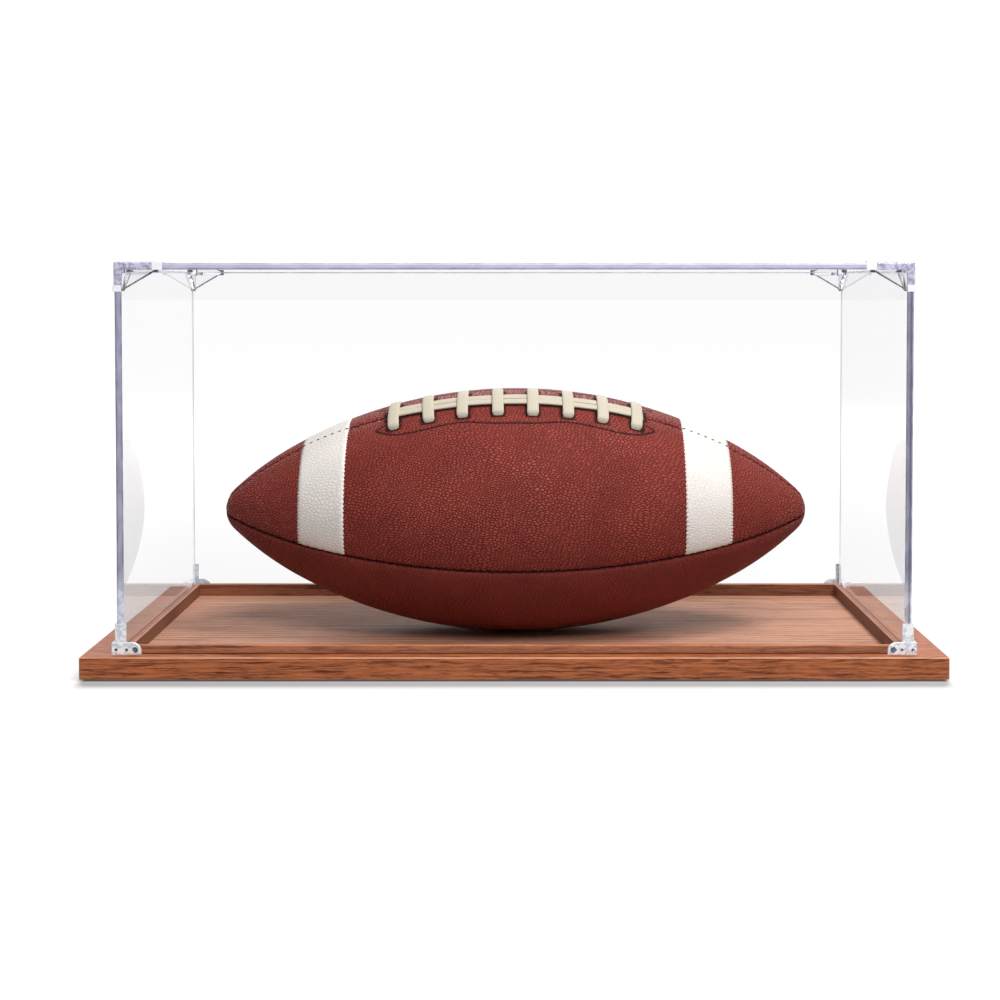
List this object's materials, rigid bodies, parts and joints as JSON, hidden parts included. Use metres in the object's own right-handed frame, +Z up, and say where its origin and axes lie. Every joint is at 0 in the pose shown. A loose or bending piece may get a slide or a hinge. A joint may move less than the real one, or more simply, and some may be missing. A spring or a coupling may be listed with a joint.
{
  "type": "football display case",
  "caption": "Wooden base with a lift-off clear cover on corner feet, holding a laced leather football with white bands.",
  "frame": {"origin": "centre of the footprint, on the surface that the base pads stand on", "axes": "+X along the ball and the longest side, -Y towards the viewer, +Z up"},
  "size_m": [0.4018, 0.198, 0.1938],
  "materials": {
    "wood_slab": "satin varnished walnut-brown wood",
    "wood_floor": "satin varnished wood, grain along the length",
    "wood_rim": "satin varnished wood",
    "pad_felt": "dense felt",
    "clear_sheet": "clear polished acrylic with faint lavender edges",
    "clear_fitting": "clear moulded plastic",
    "leather": "pebbled red-brown leather",
    "white_band": "matt white coating over pebbled leather",
    "lace": "ivory lace cord",
    "bladder_rubber": "smooth rubber",
    "valve_rubber": "matt rubber"
  },
  "bodies": {
    "base": {"base_board": "wood_slab", "floor_board_front": "wood_floor", "floor_board_rear": "wood_floor", "rim_front": "wood_rim", "rim_rear": "wood_rim", "rim_left": "wood_rim", "rim_right": "wood_rim", "base_pads": "pad_felt"},
    "cover": {"panel_front": "clear_sheet", "panel_rear": "clear_sheet", "panel_left": "clear_sheet", "panel_right": "clear_sheet", "panel_top": "clear_sheet", "connector_front_left": "clear_fitting", "connector_front_right": "clear_fitting", "connector_rear_left": "clear_fitting", "connector_rear_right": "clear_fitting", "foot_front_left": "clear_fitting", "foot_front_right": "clear_fitting", "foot_rear_left": "clear_fitting", "foot_rear_right": "clear_fitting"},
    "ball": {"leather_upper_front": "leather", "leather_lower_front": "leather", "leather_lower_rear": "leather", "leather_upper_rear": "leather", "stripe_front_left": "white_band", "stripe_rear_left": "white_band", "stripe_front_right": "white_band", "stripe_rear_right": "white_band", "long_lace": "lace", "cross_laces": "lace", "bladder": "bladder_rubber", "valve": "valve_rubber"}
  },
  "joints": [
    {"name": "cover_lift", "type": "slide", "parent": "base", "child": "cover", "axis": [0, 0, 1], "range_m": [0, 0.15]},
    {"name": "ball_turn", "type": "hinge", "parent": "base", "child": "ball", "pos_m": [0, -0.013, 0.0696], "axis": [1, 0, 0], "range_deg": [-60, 60]}
  ]
}
